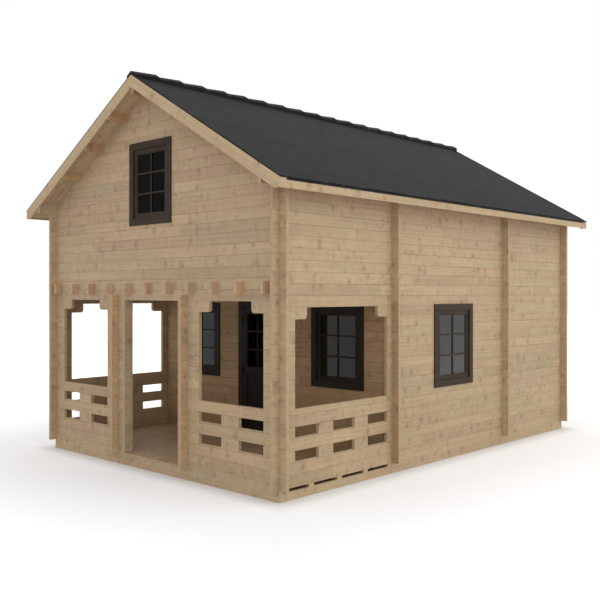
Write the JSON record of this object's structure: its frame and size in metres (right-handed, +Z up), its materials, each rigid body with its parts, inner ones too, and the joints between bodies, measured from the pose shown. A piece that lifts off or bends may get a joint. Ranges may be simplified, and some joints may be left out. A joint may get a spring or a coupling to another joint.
{
  "type": "log cabin",
  "caption": "Gabled cabin of interlocking machined logs with a covered front porch, railed sides, a loft and felted roof.",
  "frame": {"origin": "on the ground plane, under the middle of the roof outline", "axes": "+X to the right seen from the porch front, +Y from the porch front to the rear wall, +Z up"},
  "size_m": [5.37, 7.5, 5.1906],
  "materials": {
    "wall_logs": "planed machined logs, weathered, with knots",
    "joinery": "planed timber",
    "floor_boards": "planed boards",
    "roof_boards": "tongued boards",
    "trim_boards": "planed boards",
    "roof_felt": "mineral-faced roofing felt",
    "ridge_felt": "folded felt capping",
    "dark_stain": "dark brown stain, satin",
    "window_glass": "clear",
    "door_metal": "satin"
  },
  "bodies": {
    "house": {"base_end_beams": "wall_logs", "base_side_beams": "wall_logs", "front_rails": "wall_logs", "front_piers": "wall_logs", "doorway_stubs": "wall_logs", "front_corbels": "wall_logs", "front_gable": "wall_logs", "rear_gable": "wall_logs", "rear_wall": "wall_logs", "side_rails": "wall_logs", "side_corner_piers": "wall_logs", "side_corbels": "wall_logs", "side_walls": "wall_logs", "loft_side_walls": "wall_logs", "entrance_wall_panels": "wall_logs", "partition_panels": "wall_logs", "door_headers": "wall_logs", "joist_plates": "wall_logs", "loft_stubs": "wall_logs", "floor_bearers": "joinery", "porch_floor": "floor_boards", "cabin_floor": "floor_boards", "loft_joists": "joinery", "hatch_trimmers": "joinery", "wall_plates": "wall_logs", "loft_floor": "floor_boards", "purlins": "joinery", "roof_deck_left": "roof_boards", "roof_deck_right": "roof_boards", "roof_felt_left": "roof_felt", "roof_felt_right": "roof_felt", "eave_fascias": "trim_boards", "verge_boards_left": "trim_boards", "verge_boards_right": "trim_boards", "ridge_caps": "ridge_felt", "porch_window_frames": "dark_stain", "room_window_frames": "dark_stain", "gable_window_frames": "dark_stain", "window_sashes": "dark_stain", "window_panes": "window_glass", "entrance_door_frame": "dark_stain"},
    "door": {"entrance_door": "dark_stain", "entrance_door_pane": "window_glass", "door_handles": "door_metal", "door_hinges": "door_metal"}
  },
  "joints": [
    {"name": "entrance_door_hinge", "type": "hinge", "parent": "house", "child": "door", "pos_m": [-0.442, -1.419, 1.1], "axis": [0, 0, -1], "range_deg": [0, 100]}
  ]
}
